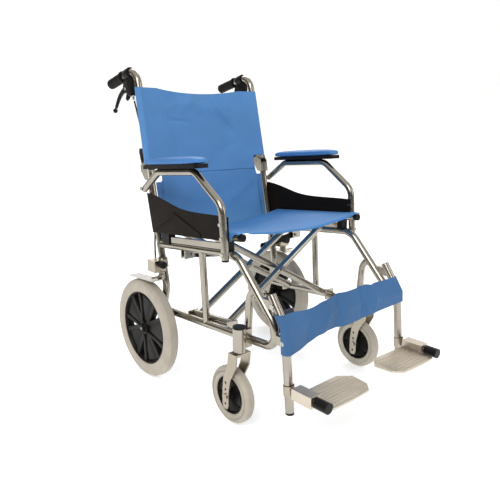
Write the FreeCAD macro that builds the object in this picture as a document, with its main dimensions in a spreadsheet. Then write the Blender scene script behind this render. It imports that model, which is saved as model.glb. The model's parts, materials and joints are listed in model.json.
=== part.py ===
"""Transport wheelchair: folding cross-braced frame, fold-down back, attendant brakes, casters and footplates.

Frame: +Z up, the chair faces -Y, +X is the chair's own left.  The origin is on the floor, midway along
the chair.  Every left piece is the mirror image of its right partner.
"""
import FreeCAD, Part
import math
import os
from FreeCAD import Placement, Rotation, Vector

doc = FreeCAD.newDocument("transport_wheelchair")
sheet = doc.addObject("Spreadsheet::Sheet", "dims")

# ---------------------------------------------------------------- driving dimensions (millimetres, degrees)
DIMENSIONS = [
    ("side_plane", 226.5, "centre plane of each side frame from the middle"),
    ("tube_radius", 11.0, "22 mm frame tube"),
    ("tube_wall", 1.8, "wall of every frame tube"),
    ("strut_radius", 10.0, "20 mm tube of the mid posts, caster braces and cross arms"),
    ("frame_tilt", 5.0, "slope of the seat rails and of the folding axes"),
    ("wheel_radius", 152.5, "12 inch rear wheel"),
    ("wheel_plane", 276.7, "middle of each rear wheel"),
    ("wheel_width", 36.0, "rear tyre width"),
    ("rim_radius", 113.0, "rear rim outer radius"),
    ("rear_axle_back", 218.6, "rear axle behind the origin"),
    ("caster_radius", 77.5, "6 inch caster"),
    ("caster_width", 30.0, "caster tyre width"),
    ("caster_rim", 51.0, "caster rim outer radius"),
    ("caster_plane", 260.0, "caster stem from the middle"),
    ("stem_front", 203.0, "caster stem in front of the origin"),
    ("caster_trail", 28.0, "caster axle behind its stem"),
    ("housing_low", 206.0, "lower end of the caster housing"),
    ("housing_high", 268.0, "upper end of the caster housing"),
    ("housing_radius", 17.0, "caster housing outer radius"),
    ("stem_radius", 8.0, "caster stem"),
    ("running_gap", 0.05, "radial clearance of every running fit"),
    ("pivot_plane", 205.0, "lower pivots of the cross brace from the middle"),
    ("pivot_height", 228.0, "lower pivots above the floor at the origin"),
    ("rail_rise", 245.0, "seat rails above the lower pivots, square to the fold axis"),
    ("arm_front", -92.0, "front tube of the outer arm pair along the fold axis"),
    ("arm_rear", 42.0, "rear tube of the outer arm pair along the fold axis"),
    ("arm_step", 24.0, "front tubes of the two arm pairs apart"),
    ("arm_step_rear", 36.0, "rear tubes of the two arm pairs apart, with the fold links between"),
    ("link_place", 60.0, "fold links along the fold axis"),
    ("link_outer", 210.5, "outer pivot of a fold link from the middle"),
    ("link_inner", 73.9, "inner end of a fold link from the middle"),
    ("link_rise", 176.8, "outer pivot of a fold link above the lower pivots"),
    ("post_lean", 0.205, "rearward lean of the back posts per unit of height"),
    ("post_back", 121.3, "back posts behind the origin, produced to the floor"),
    ("hinge_height", 634.0, "fold-down hinge of the back"),
    ("handle_plane", 221.0, "push handles from the middle"),
    ("grip_radius", 15.5, "push grip outer radius"),
    ("armrest_plane", 252.0, "armrest tubes from the middle"),
    ("armrest_radius", 10.0, "20 mm armrest tube"),
    ("pad_width", 50.0, "arm pad width"),
    ("pad_height", 19.0, "arm pad thickness"),
    ("guard_inside", 239.2, "inner face of the skirt guards"),
    ("guard_thick", 2.4, "skirt guard plate"),
    ("plate_thick", 5.0, "footplate thickness"),
    ("plate_height", 136.0, "underside of the footplates"),
    ("foot_axis_height", 147.0, "footplate hinge rod"),
    ("foot_rod_radius", 6.0, "footplate hinge rod radius"),
    ("cloth", 2.4, "fabric thickness"),
]
for row, (alias, number, note) in enumerate(DIMENSIONS, start=1):
    sheet.set(f"A{row}", alias)
    sheet.set(f"B{row}", str(number))
    sheet.set(f"C{row}", note)
    sheet.setAlias(f"B{row}", alias)
doc.recompute()


def size(alias):
    """The value of one cell of the sheet."""
    return float(sheet.get(alias))


SIDE, TUBE, STRUT, WALL = (size(alias) for alias in ("side_plane", "tube_radius", "strut_radius", "tube_wall"))
TILT = math.radians(size("frame_tilt"))
ARM_ANGLE = math.atan2(size("rail_rise"), size("side_plane") + size("pivot_plane"))
CHAIR_SIDES = (("right", -1), ("left", 1))
NODES = []


# ---------------------------------------------------------------- places worked out from the dimensions
def post_y(height):
    """Y of the back post's axis at a height."""
    return size("post_back") + size("post_lean") * height


def fold_frame(across, along, rise):
    """A point by its place across the chair, along the tilted fold axis and square to that axis."""
    return Vector(across,
                  along * math.cos(TILT) + rise * math.sin(TILT),
                  size("pivot_height") - along * math.sin(TILT) + rise * math.cos(TILT))


def upper_rail_z(y):
    return 428.5 - 0.092 * y


def lower_rail_z(y):
    return 217.8 - 0.0613 * y


def handle_z(y):
    return 901.0 - 0.24 * (y - 394.0)


# ---------------------------------------------------------------- building helpers
def solid_node(label, obj):
    """Registers a document object as a sub-part."""
    obj.Label = label
    NODES.append(obj)
    return obj


def feature(label, shape):
    """A sub-part whose shape Part's own functions make."""
    obj = doc.addObject("Part::Feature", label)
    obj.Shape = shape
    return solid_node(label, obj)


def bind(obj, **expressions):
    for name, expression in expressions.items():
        obj.setExpression(name, expression)
    return obj


def cylinder(name, radius, length, base, axis):
    """Part::Cylinder bound to the sheet, from base along axis."""
    obj = bind(doc.addObject("Part::Cylinder", name), Radius=radius, Height=length)
    obj.Placement = Placement(base, Rotation(Vector(0, 0, 1), axis))
    return obj


def block(name, length, width, height, placement):
    """Part::Box bound to the sheet."""
    obj = bind(doc.addObject("Part::Box", name), Length=length, Width=width, Height=height)
    obj.Placement = placement
    return obj


def joined(name, *objects):
    obj = doc.addObject("Part::MultiFuse", name)
    obj.Shapes = list(objects)
    return obj


def less(name, base, tool):
    obj = doc.addObject("Part::Cut", name)
    obj.Base, obj.Tool = base, tool
    return obj


def fillet_path(points, radii):
    """A wire of straight runs joined by tangent arcs, one radius for each inner point."""
    edges, start = [], points[0]
    for before, corner, after, radius in zip(points, points[1:], points[2:], radii):
        back, ahead = (before - corner).normalize(), (after - corner).normalize()
        half = back.getAngle(ahead) / 2
        reach = radius / math.tan(half)
        enter, leave = corner + back * reach, corner + ahead * reach
        middle_way = (back + ahead).normalize()
        middle = corner + middle_way * (radius / math.sin(half) - radius)
        edges += [Part.LineSegment(start, enter).toShape(), Part.Arc(enter, middle, leave).toShape()]
        start = leave
    edges.append(Part.LineSegment(start, points[-1]).toShape())
    return Part.Wire(edges)


def straight(start, end):
    return Part.Wire(Part.LineSegment(start, end).toShape())


def rod(path, radius):
    """A solid of round section along a wire."""
    first = path.Edges[0]
    circle = Part.Wire(Part.makeCircle(radius, first.valueAt(first.FirstParameter),
                                       first.tangentAt(first.FirstParameter)))
    return path.makePipeShell([circle], True, False)


def welded(*tubes):
    """One hollow weldment of several (path, outer radius) tubes."""
    outside, bores = None, []
    for path, radius in tubes:
        tube = rod(path, radius)
        outside = tube if outside is None else outside.fuse(tube)
        bores.append(rod(path, radius - WALL))
    for bore in bores:
        outside = outside.cut(bore)
    return outside


def side_points(x, pairs):
    return [Vector(x, y, z) for y, z in pairs]


def slab(x_low, x_high, outline):
    """A plate across X with an outline of (y, z) corners."""
    face = Part.Face(Part.makePolygon([Vector(x_low, y, z) for y, z in outline + outline[:1]]))
    return face.extrude(Vector(x_high - x_low, 0, 0))


def span(sign, inner, outer):
    """Low and high X of a stretch given by its distances from the middle."""
    return min(sign * inner, sign * outer), max(sign * inner, sign * outer)


def origin_feature(body, role):
    return next(item for item in body.Origin.OriginFeatures if item.Role == role)


def new_sketch(body, name, plane):
    sketch = body.newObject("Sketcher::SketchObject", name)
    sketch.AttachmentSupport = [(origin_feature(body, plane), "")]
    sketch.MapMode = "FlatFace"
    return sketch


def turned(body, name, profile):
    """Revolves a closed profile of (along X, radius) sheet expressions about X."""
    import Sketcher
    sketch = new_sketch(body, name + "_profile", "XY_Plane")
    corners = [Vector(sheet_value(along), sheet_value(radius), 0) for along, radius in profile]
    for start, end in zip(corners, corners[1:] + corners[:1]):
        sketch.addGeometry(Part.LineSegment(start, end))
    for index, (along, radius) in enumerate(profile):
        sketch.addConstraint(Sketcher.Constraint("Coincident", index, 2, (index + 1) % len(profile), 1))
        for kind, expression, number in (("DistanceX", along, corners[index].x),
                                         ("DistanceY", radius, corners[index].y)):
            place = sketch.addConstraint(Sketcher.Constraint(kind, -1, 1, index, 1, number))
            sketch.setExpression(f"Constraints[{place}]", expression)
    solid = body.newObject("PartDesign::Revolution", name)
    solid.Profile = sketch
    solid.ReferenceAxis = (sketch, ["H_Axis"])
    solid.Angle = 360
    return solid


def sheet_value(expression):
    """Evaluates a sheet expression with a scratch cell."""
    sheet.set("E1", "=" + expression.replace("dims.", ""))
    doc.recompute([sheet])
    return float(sheet.get("E1"))


def windows(body, name, inner, outer, half_angle_inner, half_angle_outer, count):
    """Cuts equal openings through a wheel's web, leaving its spokes."""
    sketch = new_sketch(body, name + "_outline", "YZ_Plane")

    def corner(radius, angle):
        return Vector(radius * math.cos(math.radians(angle)), radius * math.sin(math.radians(angle)), 0)

    low_in, low_out = corner(inner, -half_angle_inner), corner(outer, -half_angle_outer)
    high_in, high_out = corner(inner, half_angle_inner), corner(outer, half_angle_outer)
    sketch.addGeometry(Part.LineSegment(low_in, low_out))
    sketch.addGeometry(Part.Arc(low_out, corner(outer, 0), high_out))
    sketch.addGeometry(Part.LineSegment(high_out, high_in))
    sketch.addGeometry(Part.Arc(high_in, corner(inner, 0), low_in))
    pocket = body.newObject("PartDesign::Pocket", name)
    pocket.Profile = sketch
    pocket.Type = "ThroughAll"
    pocket.Midplane = True
    pattern = body.newObject("PartDesign::PolarPattern", name + "_ring")
    pattern.Originals = [pocket]
    pattern.Axis = (origin_feature(body, "X_Axis"), [""])
    pattern.Angle = 360
    pattern.Occurrences = count
    body.Tip = pattern


# ---------------------------------------------------------------- wheels
def wheel(label, centre, rim_name, width_name, radius_name, bore, hub, web, spokes):
    """A moulded wheel: hub, web with openings between the spokes, rim ring; and its solid tyre."""
    half, rim, outside = f"dims.{width_name}/2", f"dims.{rim_name}", f"dims.{radius_name}"
    body = doc.addObject("PartDesign::Body", label + "_rim_body")
    hub_half, hub_radius = hub
    turned(body, label + "_core", [
        (f"-{hub_half}", bore), (hub_half, bore), (hub_half, hub_radius), (web, f"{hub_radius}+4"),
        (web, f"{rim}-14"), (f"{half}-4", f"{rim}-9"), (f"{half}-4", rim), (f"4-{half}", rim),
        (f"4-{half}", f"{rim}-9"), (f"-{web}", f"{rim}-14"), (f"-{web}", f"{hub_radius}+4"),
        (f"-{hub_half}", hub_radius)])
    windows(body, label + "_window", float(hub_radius) + 8, sheet_value(rim) - 17, *spokes)
    body.Placement = Placement(centre, Rotation())
    solid_node(label + "_rim", body)
    tyre = doc.addObject("PartDesign::Body", label + "_tyre_body")
    turned(tyre, label + "_tread", [
        (f"4-{half}", rim), (f"{half}-4", rim), (f"{half}-1", f"{rim}+6"), (half, f"{rim}+13"),
        (half, f"{outside}-11"), (f"{half}-2", f"{outside}-5"), (f"{half}-6", f"{outside}-1.5"),
        ("0", outside), (f"6-{half}", f"{outside}-1.5"), (f"2-{half}", f"{outside}-5"),
        (f"-{half}", f"{outside}-11"), (f"-{half}", f"{rim}+13"), (f"1-{half}", f"{rim}+6")])
    tyre.Placement = Placement(centre, Rotation())
    solid_node(label + "_tyre", tyre)


def rear_wheel(side, sign):
    centre = Vector(sign * size("wheel_plane"), size("rear_axle_back"), size("wheel_radius"))
    wheel(f"rear_{side}", centre, "rim_radius", "wheel_width", "wheel_radius",
          "6+dims.running_gap", ("17", "22"), "5", (15, 26, 5))


def caster_wheel(side, sign):
    centre = Vector(sign * size("caster_plane"), size("caster_trail") - size("stem_front"),
                    size("caster_radius"))
    wheel(f"caster_{side}", centre, "caster_rim", "caster_width", "caster_radius",
          "5+dims.running_gap", ("16", "12"), "4", (12, 24, 5))


def caster_fork(side, sign):
    """Crown, two swept legs with spare axle holes, the axle bolt and the swivel stem."""
    plane, stem_y = sign * size("caster_plane"), -size("stem_front")
    axle_y, axle_z = stem_y + size("caster_trail"), size("caster_radius")
    leg = [(stem_y - 16, 204), (stem_y - 13, 168), (axle_y - 20, 128), (axle_y - 13, 94),
           (axle_y - 12, 54), (axle_y - 7, 44), (axle_y + 7, 44), (axle_y + 12, 54),
           (axle_y + 12, 96), (axle_y + 8, 130), (stem_y + 20, 165), (stem_y + 15, 204)]
    shape = slab(plane - 24.5, plane + 24.5, [(stem_y - 16, 198), (stem_y - 16, 204),
                                              (stem_y + 15, 204), (stem_y + 16.5, 198)])
    for inner, outer in ((-24.5, -19.5), (19.5, 24.5)):
        shape = shape.fuse(slab(plane + inner, plane + outer, leg))
    across = Vector(1, 0, 0)
    for height in (58, 98, 117):
        base = Vector(plane - 30, axle_y - 0.02 * (height - axle_z), height)
        shape = shape.cut(Part.makeCylinder(3.2, 60, base, across))
    shape = shape.fuse(Part.makeCylinder(5, 57, Vector(plane - 28.5, axle_y, axle_z), across))
    for start in (-28.5, 24.5):
        shape = shape.fuse(Part.makeCylinder(8, 4, Vector(plane + start, axle_y, axle_z), across))
    up = Vector(0, 0, 1)
    shape = shape.fuse(Part.makeCylinder(13, 1.5, Vector(plane, stem_y, 204), up))
    stem = Part.makeCylinder(size("stem_radius"), size("housing_high") - 206, Vector(plane, stem_y, 204), up)
    feature(f"caster_fork_{side}", shape.fuse(stem))


# ---------------------------------------------------------------- side frames
def post_point(x, height):
    return Vector(x, post_y(height), height)


def loop_path(x):
    """Upper rail, sloped front and lower rail: one bent tube."""
    return fillet_path(side_points(x, [(post_y(408), upper_rail_z(post_y(408))), (-155, upper_rail_z(-155)),
                                       (-293, 298), (-303, lower_rail_z(-303)), (196, lower_rail_z(196))]),
                       (60, 60, 32))


def lower_post_path(x):
    return fillet_path([post_point(x, 624), post_point(x, 277),
                        Vector(x, size("rear_axle_back"), size("wheel_radius"))], (90,))


def hanger_path(x):
    return fillet_path(side_points(x, [(-284, 367), (-331, 300), (-352, 88)]), (70,))


def side_frame(side, sign):
    x = sign * SIDE
    brace = fillet_path(side_points(x, [(-228, 372), (-204, 344), (-197, 231)]), (35,))
    mid_post = straight(Vector(x, -6.5, upper_rail_z(-6.5)), Vector(x, -21.5, lower_rail_z(-21.5)))
    shape = welded((loop_path(x), TUBE), (lower_post_path(x), TUBE), (mid_post, STRUT), (brace, STRUT))
    boss_low, boss_high = span(sign, 212, 255)
    across, up = Vector(1, 0, 0), Vector(0, 0, 1)
    axle = Vector(boss_low, size("rear_axle_back"), size("wheel_radius"))
    shape = shape.fuse(Part.makeCylinder(14, boss_high - boss_low, axle, across))
    shape = shape.cut(Part.makeCylinder(6, boss_high - boss_low, axle, across))
    bar_low, bar_high = span(sign, SIDE - 7, SIDE + 7)
    shape = shape.fuse(slab(bar_low, bar_high, [(y, upper_rail_z(y) + rise) for y, rise in
                                                ((135, 10), (-110, 10), (-110, 26), (135, 26))]))
    housing = Vector(sign * size("caster_plane"), -size("stem_front"), size("housing_low"))
    height = size("housing_high") - size("housing_low")
    web_low, web_high = span(sign, SIDE, size("caster_plane"))
    shape = shape.fuse(slab(web_low, web_high, [(-213, 214), (-213, 262), (-190, 262), (-190, 214)]))
    shape = shape.fuse(Part.makeCylinder(size("housing_radius"), height, housing, up))
    shape = shape.cut(Part.makeCylinder(size("stem_radius") + size("running_gap"), height, housing, up))
    lug_low, lug_high = span(sign, SIDE - 6, SIDE + 6)
    for outline in ([(-247, 354), (-252, 332), (-308, 332), (-293, 354)],
                    [(-297, 272), (-299, 250), (-337, 250), (-335, 272)]):
        shape = shape.fuse(slab(lug_low, lug_high, outline))
    shape = shape.cut(rod(hanger_path(x), TUBE))
    ear_low, ear_high = span(sign, size("link_outer") - 11, SIDE + 8)
    for along in (48.5, 66.5):
        near, far = fold_frame(0, along, size("link_rise")), fold_frame(0, along + 5, size("link_rise"))
        outline = [(near.y, 390), (far.y, 390), (far.y, upper_rail_z(70)), (near.y, upper_rail_z(70))]
        shape = shape.fuse(slab(ear_low, ear_high, outline))
    link_x = sign * size("link_outer")
    shape = shape.fuse(rod(straight(fold_frame(link_x, 44, size("link_rise")),
                                    fold_frame(link_x, 76, size("link_rise"))), 4))
    for place in bracket_pair(sign):
        shape = shape.fuse(pivot_bracket(sign, place))
    feature(f"side_frame_{side}", shape)


def arm_pair(sign):
    """Where the two arms that pivot on one side stand along the fold axis."""
    if sign < 0:
        return size("arm_front"), size("arm_rear")
    return size("arm_front") + size("arm_step"), size("arm_rear") + size("arm_step_rear")


def bracket_pair(sign):
    """Where the two pivot brackets of one side stand along the fold axis."""
    front, rear = arm_pair(sign)
    return front - 24, rear + 24


def pivot_bracket(sign, along):
    """A plate from the lower rail with a pin that enters the end of a pivot tube."""
    x, towards = sign * size("pivot_plane"), 1 if along < 0 else -1
    low, high = span(sign, size("pivot_plane") - 11, SIDE)
    near, far = fold_frame(0, along - 3, 0), fold_frame(0, along + 3, 0)
    rail_z = lower_rail_z(near.y)
    plate = slab(low, high, [(near.y, rail_z - 8), (far.y, rail_z - 8), (far.y, far.z + 11),
                             (near.y, near.z + 11)])
    pin = rod(straight(fold_frame(x, along, 0), fold_frame(x, along + 20 * towards, 0)), 6)
    return plate.fuse(pin).cut(rod(lower_rail_stretch(sign * SIDE), TUBE - WALL))


def lower_rail_stretch(x):
    return straight(Vector(x, -150, lower_rail_z(-150)), Vector(x, 150, lower_rail_z(150)))


def saddle(sign, y, length):
    """A moulded seat for the seat rail, standing on the upper rail."""
    x = sign * SIDE
    low, high = span(sign, SIDE - 12, SIDE + 11)
    rest = slab(low, high, [(y - length / 2, upper_rail_z(y) + 6), (y + length / 2, upper_rail_z(y) + 6),
                            (y + length / 2, seat_rail_z(y) - 4), (y - length / 2, seat_rail_z(y) - 4)])
    rail = straight(fold_frame(x, -200, size("rail_rise")), fold_frame(x, 200, size("rail_rise")))
    return rest.cut(rod(rail, TUBE + 2.0)).cut(rod(loop_path(x), TUBE))


def seat_rail_z(y):
    along = (y - size("rail_rise") * math.sin(TILT)) / math.cos(TILT)
    return fold_frame(0, along, size("rail_rise")).z


def plug(centre, direction, radius, length):
    return Part.makeCylinder(radius, length, centre, direction)


def plastic_fittings(side, sign):
    """Black mouldings on the frame: saddles, tube plugs, housing cap, brake knob and bumper cap."""
    x, arm_x = sign * SIDE, sign * size("armrest_plane")
    down, up, front = Vector(0, 0, -1), Vector(0, 0, 1), Vector(0, -1, 0)
    pieces = [saddle(sign, -121, 20), saddle(sign, 158, 34),
              plug(Vector(arm_x, -140, 430), down, size("armrest_radius"), 4),
              plug(Vector(x, -352, 88), down, TUBE, 5),
              plug(Vector(sign * size("caster_plane"), -size("stem_front"), size("housing_high")), up,
                   size("housing_radius"), 5),
              plug(Vector(sign * 256, 158, 360), front, 11, 14),
              plug(Vector(x, -437, size("foot_axis_height")), front, 13.5, 37)]
    feature(f"plastic_fittings_{side}", Part.makeCompound(pieces))


def bolt(base, direction, radius, length, head_radius, head):
    """A bolt with a head at its outer end."""
    shank = Part.makeCylinder(radius, length, base, direction)
    return shank.fuse(Part.makeCylinder(head_radius, head, base + direction * length, direction))


GUARD_SCREWS = ((-131, 520), (-136, 484))


def frame_bolts(side, sign):
    """Rear axle bolt, armrest bolts, guard screws and hanger clamp bolts."""
    out = Vector(sign, 0, 0)

    def outward(distance, y, z, radius, length, head_radius, head):
        return bolt(Vector(sign * distance, y, z), out, radius, length, head_radius, head)

    pieces = [outward(205, size("rear_axle_back"), size("wheel_radius"), 6, 89.7, 9, 1.8),
              outward(SIDE, -139, 443, 3, 36, 6, 3),
              outward(SIDE, post_y(577), 577, 3, 36, 6, 3),
              *(outward(239.3, screw_y, screw_z, 2, 23.2, 4.5, 2) for screw_y, screw_z in GUARD_SCREWS),
              outward(SIDE - 3, -298, 343, 3, 14, 6, 3),
              outward(SIDE - 3, -335, 261, 3, 14, 6, 3)]
    feature(f"frame_bolts_{side}", Part.makeCompound(pieces))


def armrest_tube(side, sign):
    x = sign * size("armrest_plane")
    path = fillet_path(side_points(x, [(242, 573), (160, 630), (-17, 643), (-128, 567), (-140, 430)]),
                       (40, 45, 45))
    feature(f"armrest_tube_{side}", welded((path, size("armrest_radius"))))


def arm_pad(side, sign):
    """The pad's plastic base and its soft top lie along the armrest tube."""
    slope = Rotation(Vector(1, 0, 0), math.degrees(math.atan2(-13, 177)))
    centre_x = sign * 258
    for label, half, lift, length, width, height in (
            (f"arm_pad_base_{side}", 0, 10.1, "262", "dims.pad_width-4", "11"),
            (f"arm_pad_{side}", 2, 21.1, "258", "dims.pad_width", "dims.pad_height")):
        breadth = sheet_value(width)
        corner = Vector(-breadth / 2, -126 + half, lift)
        place = Placement(Vector(centre_x, 65, 637), slope).multiply(Placement(corner, Rotation()))
        core = block(label + "_block", width, length, height, place)
        rounded = doc.addObject("Part::Fillet", label + "_rounded")
        rounded.Base = core
        rounded.Edges = [(edge, 10.0, 10.0) for edge in (1, 3, 5, 7)]
        solid_node(label, rounded)


def skirt_guard(side, sign):
    """A thin moulded guard with a wavy top edge and two raised ridges that meet in a peak."""
    low, _ = span(sign, size("guard_inside"), size("guard_inside") + size("guard_thick"))
    top = Part.BSplineCurve()
    top.interpolate([Vector(low, y, z) for y, z in
                     ((247, 561), (202, 558), (150, 549), (84, 536), (0, 533), (-138, 538))])
    corners = [Vector(low, y, z) for y, z in ((-138, 538), (-141, 476), (221, 445), (247, 561))]
    edges = [top.toShape()] + [Part.LineSegment(start, end).toShape()
                               for start, end in zip(corners, corners[1:])]
    plate = Part.Face(Part.Wire(edges)).extrude(Vector(size("guard_thick"), 0, 0))
    outside = size("guard_inside") + size("guard_thick")
    ridge_low, ridge_high = span(sign, outside - 1, outside + 2)
    for foot_y, foot_z in ((201, 457), (-22, 468)):
        ridge = [(108, 520), (108, 509), (foot_y, foot_z), (foot_y, foot_z + 9)]
        plate = plate.fuse(slab(ridge_low, ridge_high, ridge))
    for hole_y, hole_z in GUARD_SCREWS:
        hole = Part.makeCylinder(2 + size("running_gap"), 9, Vector(low - 3, hole_y, hole_z), Vector(1, 0, 0))
        plate = plate.cut(hole)
    feature(f"skirt_guard_{side}", plate)


# ---------------------------------------------------------------- rear brakes
def brake_housing(side, sign):
    low, high = span(sign, 238.5, 277)
    body = slab(low, high, [(160, 336), (160, 371), (201, 371), (201, 336)])
    clamp = Part.makeCylinder(15, 30, post_point(sign * SIDE, 340), Vector(0, size("post_lean"), 1))
    clamp_low, clamp_high = span(sign, SIDE, 245)
    bridge = slab(clamp_low, clamp_high, [(175, 342), (175, 366), (205, 366), (205, 342)])
    shape = body.fuse(clamp).fuse(bridge).cut(rod(lower_post_path(sign * SIDE), TUBE))
    fork_low, fork_high = span(sign, 250, 254)
    cheek = slab(fork_low, fork_high, [(150, 318), (150, 338), (178, 338), (178, 318)])
    pin_low, pin_high = span(sign, 250, 291)
    pin = Part.makeCylinder(3, pin_high - pin_low, Vector(pin_low, 158, 324), Vector(1, 0, 0))
    feature(f"brake_housing_{side}", shape.fuse(cheek).fuse(pin))


def brake_shoe(side, sign):
    """A press plate over the tyre, hung on the housing's pin."""
    low, high = span(sign, 260, 293)
    plate = slab(low, high, [(150, 314), (150, 317.5), (286, 308), (286, 304.5)])
    ear_low, ear_high = span(sign, 255, 259.5)
    ear = slab(ear_low, ear_high, [(150, 314), (150, 330), (166, 330), (180, 317), (180, 312)])
    link_low, link_high = span(sign, 255, 266)
    bridge = slab(link_low, link_high, [(152, 314.2), (152, 317.2), (178, 315.3), (178, 312.3)])
    pin_hole = Part.makeCylinder(3 + size("running_gap"), 60, Vector(min(sign * 240, sign * 300), 158, 324),
                                 Vector(1, 0, 0))
    feature(f"brake_shoe_{side}", plate.fuse(ear).fuse(bridge).cut(pin_hole))


# ---------------------------------------------------------------- fold-down back and push handles
def back_pin():
    """The fold-down hinge stands a little behind the post's axis."""
    return post_y(size("hinge_height")) + 16, size("hinge_height")


def handle_corner(sign):
    """Where the lines of the upper post and the push handle meet."""
    return Vector(sign * size("handle_plane"), 310, handle_z(310))


def upper_post_point(sign, height):
    """The axis of the upper post, which leans in a little towards the handle."""
    foot, corner = post_point(sign * SIDE, 643), handle_corner(sign)
    return foot + (corner - foot) * ((height - foot.z) / (corner.z - foot.z))


def handle_path(sign):
    """Upper back post bending over into the push handle."""
    end = Vector(sign * size("handle_plane"), 466, handle_z(466))
    return fillet_path([post_point(sign * SIDE, 643), handle_corner(sign), end], (42,))


def back_post(side, sign):
    low, high = span(sign, SIDE - 10.6, SIDE + 10.6)
    pin_y, pin_z = back_pin()
    foot = slab(low, high, [(post_y(643) - 10.6, 643), (post_y(654) - 10.6, 654), (post_y(654) + 9, 654),
                            (pin_y + 9, 645), (pin_y + 9, 627), (pin_y - 9, 627)])
    hole = Part.makeCylinder(4 + size("running_gap"), 40, Vector(sign * SIDE - 20, pin_y, pin_z),
                             Vector(1, 0, 0))
    shape = rod(handle_path(sign), TUBE).fuse(foot).cut(rod(handle_path(sign), TUBE - WALL)).cut(hole)
    feature(f"back_post_{side}", shape)


def back_hinge(side, sign):
    """A collar on the lower post with two cheeks and the pin between them."""
    pin_y, pin_z = back_pin()
    collar = Part.makeCylinder(14.5, 24, post_point(sign * SIDE, 599), Vector(0, size("post_lean"), 1))
    outline = [(post_y(600) - 11, 600), (post_y(600) + 12, 600), (pin_y + 10, 626), (pin_y + 10, 642),
               (pin_y - 6, 648), (post_y(640) - 11, 640)]
    shape = collar
    for inner, outer in ((-14.5, -11.4), (11.4, 14.5)):
        low, high = span(sign, SIDE + inner, SIDE + outer)
        shape = shape.fuse(slab(low, high, outline))
    shape = shape.cut(rod(lower_post_path(sign * SIDE), TUBE))
    pin = Part.makeCylinder(4, 33, Vector(sign * SIDE - 16.5, pin_y, pin_z), Vector(1, 0, 0))
    feature(f"back_hinge_{side}", shape.fuse(pin))


def latch_lever(side, sign):
    """The release lever behind the post, on a round foot, with a thick thumb pad at its top."""
    low, high = span(sign, SIDE - 6, SIDE + 6)
    pin_y, _ = back_pin()
    blade = slab(low, high, [(pin_y + 11, 643), (pin_y + 12, 660), (pin_y + 11, 684), (pin_y + 16, 691),
                             (pin_y + 27, 690), (pin_y + 30, 680), (pin_y + 24, 660), (pin_y + 17.6, 643)])
    foot = Part.makeCylinder(3.6, 12, Vector(low, pin_y + 14, 643), Vector(1, 0, 0))
    feature(f"latch_lever_{side}", blade.fuse(foot))


def handle_grip(side, sign):
    """A ribbed sleeve with a closed end over the end of the push handle."""
    start, end = (Vector(sign * size("handle_plane"), y, handle_z(y)) for y in (389, 470.4))
    along = end - start
    shape = Part.makeCylinder(size("grip_radius"), along.Length, start, along)
    feature(f"handle_grip_{side}", shape.cut(rod(handle_path(sign), TUBE)))


def lever_bracket(side, sign):
    """Clamp round the handle, the lever's housing below it and the parking catch."""
    x = sign * size("handle_plane")
    ring_start, ring_end = (Vector(x, y, handle_z(y)) for y in (344, 372))
    ring = Part.makeCylinder(15.5, (ring_end - ring_start).Length, ring_start, ring_end - ring_start)
    body = slab(x - 9, x + 9, [(334, 900), (372, 898), (384, 876), (372, 854), (340, 846), (330, 862)])
    slot = slab(x - 4.3, x + 4.3, [(352, 884), (400, 884), (400, 830), (352, 846)])
    catch = slab(x + 4.6, x + 8, [(358, 860), (376, 834), (394, 838), (380, 864)])
    ferrule = Part.makeCylinder(4, 12, Vector(x, 339, 852), Vector(0, -0.35, -1))
    pin = Part.makeCylinder(3, 18, Vector(x - 9, 366, 866), Vector(1, 0, 0))
    shape = ring.fuse(body).cut(rod(handle_path(sign), TUBE)).cut(slot).fuse(catch).fuse(ferrule).fuse(pin)
    feature(f"lever_bracket_{side}", shape)


def brake_lever(side, sign):
    """A cranked blade with a ball end."""
    x = sign * size("handle_plane")
    blade = slab(x - 4, x + 4, [(356, 868), (364, 876), (380, 876), (404, 864), (424, 850), (452, 810),
                                (446, 803), (417, 840), (396, 854), (372, 856), (360, 858)])
    ball = Part.makeSphere(7.5, Vector(x, 453, 802))
    hole = Part.makeCylinder(3 + size("running_gap"), 20, Vector(x - 10, 366, 866), Vector(1, 0, 0))
    feature(f"brake_lever_{side}", blade.fuse(ball).cut(hole))


CABLE_RADIUS = 2.5
CABLE_ROUTE = [(0, 331, 829), (0, 319, 800), (-1, 306, 764), (-4, 301, 726), (-8, 290, 686), (-9, 289, 644),
               (-8, 280, 604), (-3, 262, 566), (2, 248, 524), (5, 237, 480), (10, 226, 440), (22, 211, 404),
               (33, 192, 373)]


def brake_cable(side, sign):
    """The cable runs down behind the back post to the brake housing."""
    points = [Vector(sign * (size("handle_plane") + across), y, z) for across, y, z in CABLE_ROUTE]
    radii = []
    for before, corner, after in zip(points, points[1:], points[2:]):
        turn = (corner - before).getAngle(after - corner)
        run = min((corner - before).Length, (after - corner).Length)
        radii.append(0.45 * run / math.tan(turn / 2))
    print(f"brake_cable_{side} radii", [round(radius) for radius in radii])
    feature(f"brake_cable_{side}", rod(fillet_path(points, radii), CABLE_RADIUS))


# ---------------------------------------------------------------- footrests
def footrest_hanger(side, sign):
    feature(f"footrest_hanger_{side}", welded((hanger_path(sign * SIDE), TUBE)))


def footplate_bracket(side, sign):
    """Collar on the hanger's foot and the rod that the footplate turns on."""
    height = size("foot_axis_height")
    base, front = Vector(sign * SIDE, -352, height), Vector(0, -1, 0)
    collar = cylinder(f"hanger_collar_{side}", "dims.tube_radius+3", "26",
                      Vector(sign * SIDE, -349.3, height - 16), Vector(0, 0.099, 1))
    hanger_bore = cylinder(f"hanger_bore_{side}", "dims.tube_radius", "60",
                           Vector(sign * SIDE, -352.8, height - 33), Vector(0, 0.099, 1))
    pierced = less(f"pierced_collar_{side}", collar, hanger_bore)
    hinge_rod = cylinder(f"hinge_rod_{side}", "dims.foot_rod_radius", "75",
                         base + front * 10, front)
    solid_node(f"footplate_bracket_{side}", joined(f"bracket_{side}", pierced, hinge_rod))


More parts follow.
